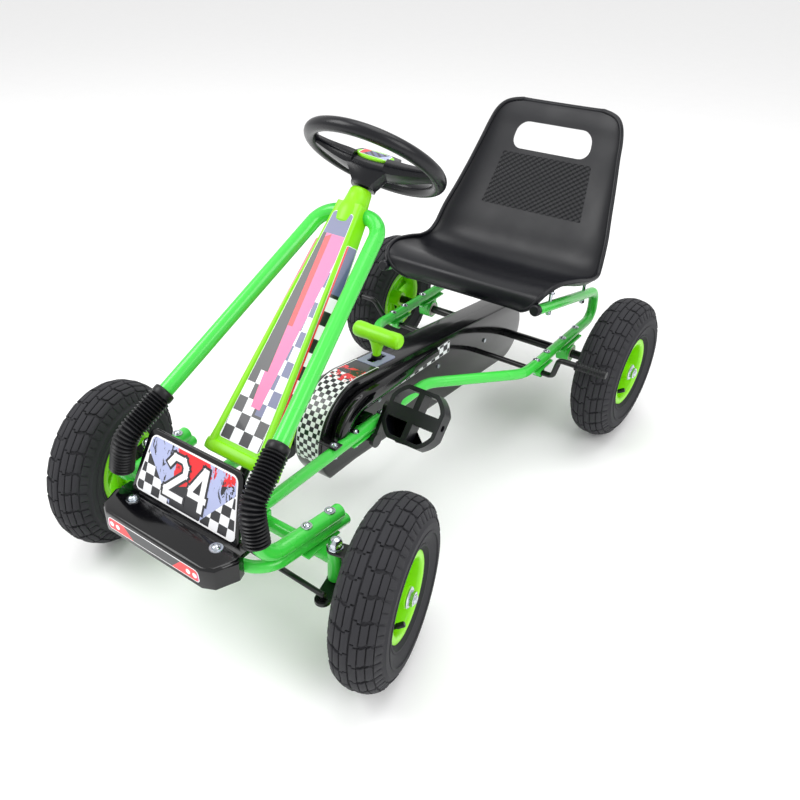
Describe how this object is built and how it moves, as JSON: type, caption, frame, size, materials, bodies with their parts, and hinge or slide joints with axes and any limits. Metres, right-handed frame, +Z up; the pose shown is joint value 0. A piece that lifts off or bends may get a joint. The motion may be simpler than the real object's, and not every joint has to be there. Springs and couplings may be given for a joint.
{
  "type": "pedal go kart",
  "caption": "Child's pedal go kart: green tube frame, bucket seat, steering wheel on a leaning column, chain drive, pneumatic tyres and a hand brake bar.",
  "frame": {"origin": "on the ground, in the middle of the kart's overall length and width", "axes": "+X to the driver's left, +Y backwards (the driver faces -Y), +Z up"},
  "size_m": [0.6204, 1.0764, 0.6371],
  "materials": {
    "green_paint": "gloss powder coat",
    "black_plastic": "moulded satin black",
    "black_rubber": "soft black",
    "zinc_steel": "bright zinc plate",
    "nylon": "natural nylon",
    "lime_plastic": "moulded satin lime",
    "sticker_film": "printed vinyl film",
    "chain_steel": "oiled steel",
    "black_steel": "satin black paint",
    "tyre_rubber": "moulded tread"
  },
  "bodies": {
    "frame": {"front_hoop": "green_paint", "bumper_tube": "green_paint", "front_beam": "green_paint", "side_rail_left": "green_paint", "side_rail_right": "green_paint", "rail_plugs": "black_plastic", "hoop_bolts": "zinc_steel", "rail_bolts": "zinc_steel", "kingpin_bushes": "nylon", "column_bushes": "nylon", "boot_left": "black_rubber", "boot_right": "black_rubber", "bumper_cover": "black_plastic", "bumper_bolts": "zinc_steel", "bumper_sticker": "sticker_film", "nose_fairing": "lime_plastic", "case_left": "black_plastic", "case_right": "black_plastic", "case_screws": "zinc_steel", "lever_pin": "zinc_steel", "crank_bracket_left": "black_steel", "crank_bracket_right": "black_steel", "crank_bushes": "nylon", "chain": "chain_steel", "axle_bracket_left": "black_steel", "axle_bracket_right": "black_steel", "axle_bearings": "chain_steel", "brake_lugs": "black_steel", "seat": "black_plastic", "seat_bolts": "zinc_steel"},
    "steering": {"steering_column": "black_steel", "steering_wheel": "black_plastic", "hub_insert": "lime_plastic", "column_nut": "zinc_steel"},
    "knuckle_left": {"knuckle_left": "black_steel", "kingpin_left": "zinc_steel"},
    "knuckle_right": {"knuckle_right": "black_steel", "kingpin_right": "zinc_steel"},
    "tie_rod_left": {"tie_rod_left": "black_steel"},
    "tie_rod_right": {"tie_rod_right": "black_steel"},
    "front_wheel_left": {"tyre_front_left": "tyre_rubber", "rim_front_left": "lime_plastic", "hub_bushes_left": "nylon"},
    "front_wheel_right": {"tyre_front_right": "tyre_rubber", "rim_front_right": "lime_plastic", "hub_bushes_right": "nylon"},
    "rear_wheels": {"rear_axle": "black_steel", "axle_nuts": "zinc_steel", "axle_sprocket": "chain_steel", "tyre_rear_left": "tyre_rubber", "tyre_rear_right": "tyre_rubber", "rim_rear_left": "lime_plastic", "rim_rear_right": "lime_plastic"},
    "crank": {"crank": "black_steel", "chainring": "chain_steel"},
    "pedal_left": {"pedal_left": "black_plastic"},
    "pedal_right": {"pedal_right": "black_plastic"},
    "drive_lever": {"drive_lever": "lime_plastic"},
    "brake": {"brake_bar": "black_steel", "brake_grips": "black_rubber"}
  },
  "joints": [
    {"name": "steering_turn", "type": "hinge", "parent": "frame", "child": "steering", "pos_m": [0, -0.0715, 0.567], "axis": [0, 0.6266, 0.7793], "range_deg": [-43.9, 16.1]},
    {"name": "kingpin_left", "type": "hinge", "parent": "frame", "child": "knuckle_left", "pos_m": [0.1775, -0.3875, 0.13], "axis": [0, 0, 1], "range_deg": [-43.9, 16.1]},
    {"name": "kingpin_right", "type": "hinge", "parent": "frame", "child": "knuckle_right", "pos_m": [-0.1775, -0.3875, 0.13], "axis": [0, 0, 1], "range_deg": [-43.9, 16.1]},
    {"name": "tie_left", "type": "hinge", "parent": "knuckle_left", "child": "tie_rod_left", "pos_m": [0.18711, -0.42633, 0.13], "axis": [0, 0, 1], "range_deg": [-16.1, 43.9]},
    {"name": "tie_right", "type": "hinge", "parent": "knuckle_right", "child": "tie_rod_right", "pos_m": [-0.16789, -0.42633, 0.13], "axis": [0, 0, 1], "range_deg": [-16.1, 43.9]},
    {"name": "front_wheel_left_spin", "type": "hinge", "parent": "knuckle_left", "child": "front_wheel_left", "pos_m": [0.24739, -0.3702, 0.13], "axis": [0.9707, 0.2402, 0], "continuous": true},
    {"name": "front_wheel_right_spin", "type": "hinge", "parent": "knuckle_right", "child": "front_wheel_right", "pos_m": [-0.24739, -0.4048, 0.13], "axis": [0.9707, 0.2402, 0], "continuous": true},
    {"name": "rear_axle_spin", "type": "hinge", "parent": "frame", "child": "rear_wheels", "pos_m": [0, 0.3545, 0.13], "axis": [1, 0, 0], "continuous": true},
    {"name": "crank_spin", "type": "hinge", "parent": "frame", "child": "crank", "pos_m": [0, -0.1425, 0.16], "axis": [1, 0, 0], "continuous": true},
    {"name": "pedal_left_spin", "type": "hinge", "parent": "crank", "child": "pedal_left", "pos_m": [0.118, -0.11254, 0.20613], "axis": [1, 0, 0], "continuous": true},
    {"name": "pedal_right_spin", "type": "hinge", "parent": "crank", "child": "pedal_right", "pos_m": [-0.118, -0.17246, 0.11387], "axis": [1, 0, 0], "continuous": true},
    {"name": "drive_lever_tilt", "type": "hinge", "parent": "frame", "child": "drive_lever", "pos_m": [0, -0.0535, 0.216], "axis": [1, 0, 0], "range_deg": [-10, 10]},
    {"name": "brake_pull", "type": "hinge", "parent": "frame", "child": "brake", "pos_m": [0, 0.2375, 0.14], "axis": [1, 0, 0], "range_deg": [-13, 0]}
  ],
  "couplings": [
    {"joint": "kingpin_left", "follows": "steering_turn", "ratio": 1},
    {"joint": "kingpin_right", "follows": "steering_turn", "ratio": 1},
    {"joint": "tie_left", "follows": "steering_turn", "ratio": -1},
    {"joint": "tie_right", "follows": "steering_turn", "ratio": -1},
    {"joint": "crank_spin", "follows": "rear_axle_spin", "ratio": 0.8}
  ]
}
